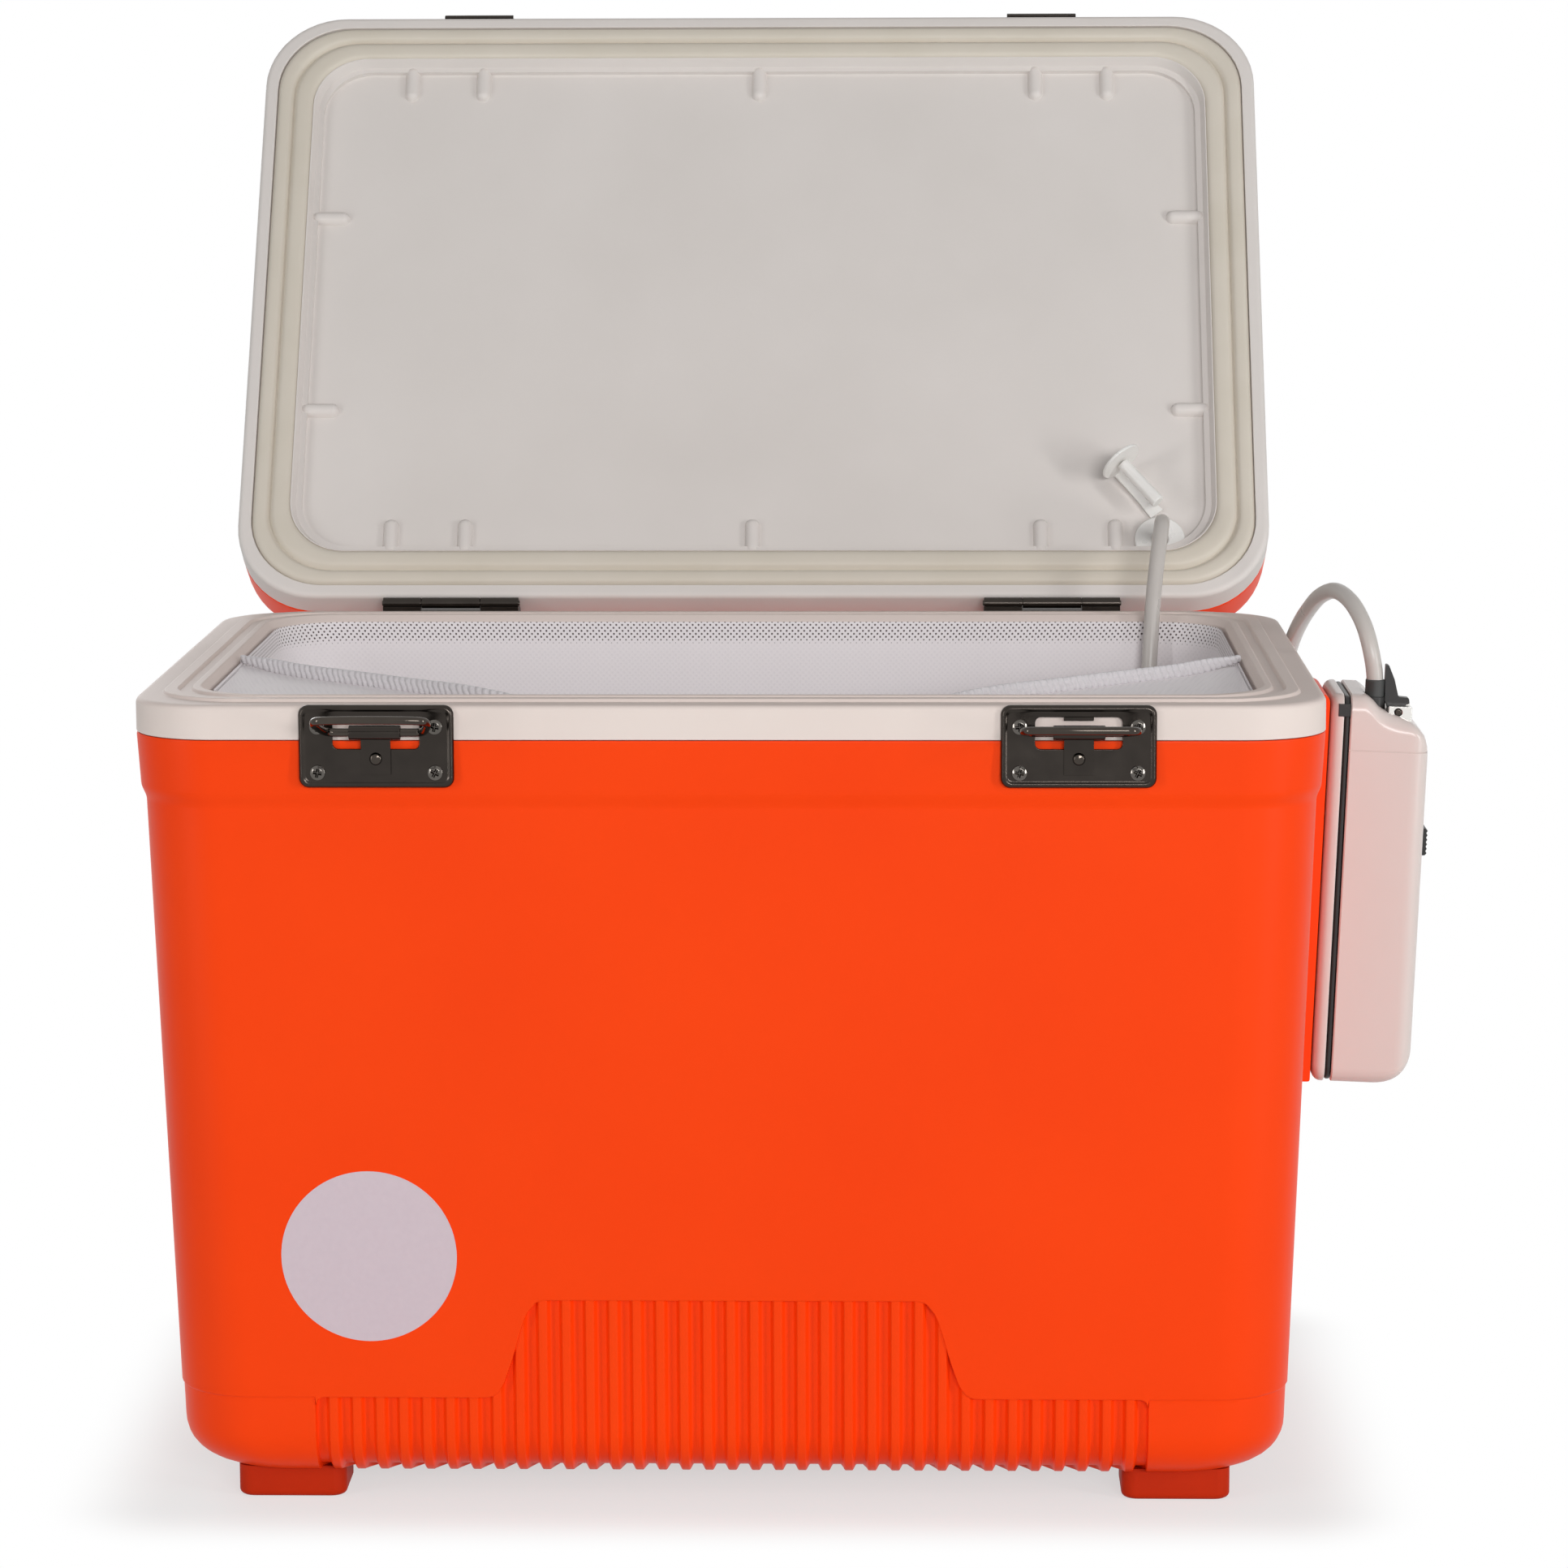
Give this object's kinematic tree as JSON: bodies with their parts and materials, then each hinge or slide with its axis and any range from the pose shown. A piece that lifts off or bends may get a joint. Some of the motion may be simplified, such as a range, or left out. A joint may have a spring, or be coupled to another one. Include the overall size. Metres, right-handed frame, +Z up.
{
  "type": "live bait well",
  "caption": "Insulated live bait well with a hinged foam-filled lid, bail latches, a net liner and a side-mounted battery air pump with its hose.",
  "frame": {"origin": "on the ground under the middle of the bounding box, measured without the air hose", "axes": "+Z up; -Y towards the side with the latches; +X towards the side with the pump"},
  "size_m": [0.4788, 0.499, 0.5454],
  "materials": {
    "orange_shell": "satin moulded",
    "white_liner": "satin moulded",
    "foam": "foamed in place",
    "foot_plastic": "matte moulded",
    "gasket_vinyl": "soft satin",
    "dark_steel": "dark plated",
    "bright_steel": "plated",
    "pump_plastic": "gloss moulded",
    "black_plastic": "matte moulded",
    "cell_jacket": "printed jacket, no text",
    "hose_vinyl": "clear vinyl",
    "silicone": "clear silicone",
    "stone": "porous",
    "netting": "knotless mesh"
  },
  "bodies": {
    "tub": {"outer_shell": "orange_shell", "inner_liner": "white_liner", "insulation_foam": "foam", "foot_front_left": "foot_plastic", "foot_front_right": "foot_plastic", "foot_rear_left": "foot_plastic", "foot_rear_right": "foot_plastic", "latch_plate_left": "dark_steel", "latch_plate_right": "dark_steel", "latch_leaf_left": "dark_steel", "latch_leaf_right": "dark_steel", "latch_rivet_left": "bright_steel", "latch_rivet_right": "bright_steel", "latch_screw_left_low_a": "bright_steel", "latch_screw_left_low_b": "bright_steel", "latch_screw_left_high_a": "bright_steel", "latch_screw_left_high_b": "bright_steel", "latch_screw_right_low_a": "bright_steel", "latch_screw_right_low_b": "bright_steel", "latch_screw_right_high_a": "bright_steel", "latch_screw_right_high_b": "bright_steel", "hinge_leaf_body_left": "dark_steel", "hinge_leaf_body_right": "dark_steel", "hinge_pin_left": "bright_steel", "hinge_pin_right": "bright_steel", "pump_back": "pump_plastic", "pump_seal": "black_plastic", "pump_case": "pump_plastic", "hose_nozzle": "black_plastic", "clip_clevis": "bright_steel", "clip_pin": "bright_steel", "air_motor": "bright_steel", "diaphragm_pump": "black_plastic", "battery_cell_lower": "cell_jacket", "battery_cell_upper": "cell_jacket", "air_hose_outer": "hose_vinyl", "air_hose_inner": "hose_vinyl", "airstone": "stone", "net_bag": "netting", "net_hem": "netting"},
    "lid": {"lid_shell": "orange_shell", "lid_liner": "white_liner", "lid_foam": "foam", "lid_gasket": "gasket_vinyl", "port_grommet": "silicone", "port_plug": "silicone", "lid_catch_left": "dark_steel", "lid_catch_right": "dark_steel", "hinge_leaf_lid_left": "dark_steel", "hinge_leaf_lid_right": "dark_steel"},
    "left_bail": {"latch_bail_left": "dark_steel"},
    "right_bail": {"latch_bail_right": "dark_steel"},
    "battery_door": {"battery_door": "pump_plastic"},
    "switch": {"switch_knob": "black_plastic"},
    "clip": {"clip_lever": "black_plastic"}
  },
  "joints": [
    {"name": "lid_hinge", "type": "hinge", "parent": "tub", "child": "lid", "pos_m": [-0.02438, 0.0644, 0.303], "axis": [1, 0, 0], "range_deg": [0, 123.5], "deforming": ["air_hose_outer", "air_hose_inner"]},
    {"name": "left_bail_swing", "type": "hinge", "parent": "tub", "child": "left_bail", "pos_m": [-0.14938, -0.2276, 0.291], "axis": [-1, 0, 0], "range_deg": [-105, 70]},
    {"name": "right_bail_swing", "type": "hinge", "parent": "tub", "child": "right_bail", "pos_m": [0.10062, -0.2276, 0.291], "axis": [-1, 0, 0], "range_deg": [-95, 80]},
    {"name": "battery_door_hinge", "type": "hinge", "parent": "tub", "child": "battery_door", "pos_m": [0.23177, -0.0804, 0.1588], "axis": [0, 1, 0], "range_deg": [0, 95]},
    {"name": "switch_slide", "type": "slide", "parent": "tub", "child": "switch", "axis": [0.0401, 0, 0.9992], "range_m": [0, 0.006]},
    {"name": "clip_swing", "type": "hinge", "parent": "tub", "child": "clip", "pos_m": [0.22595, -0.0944, 0.28053], "axis": [0, 1, 0], "range_deg": [0, 75]}
  ]
}
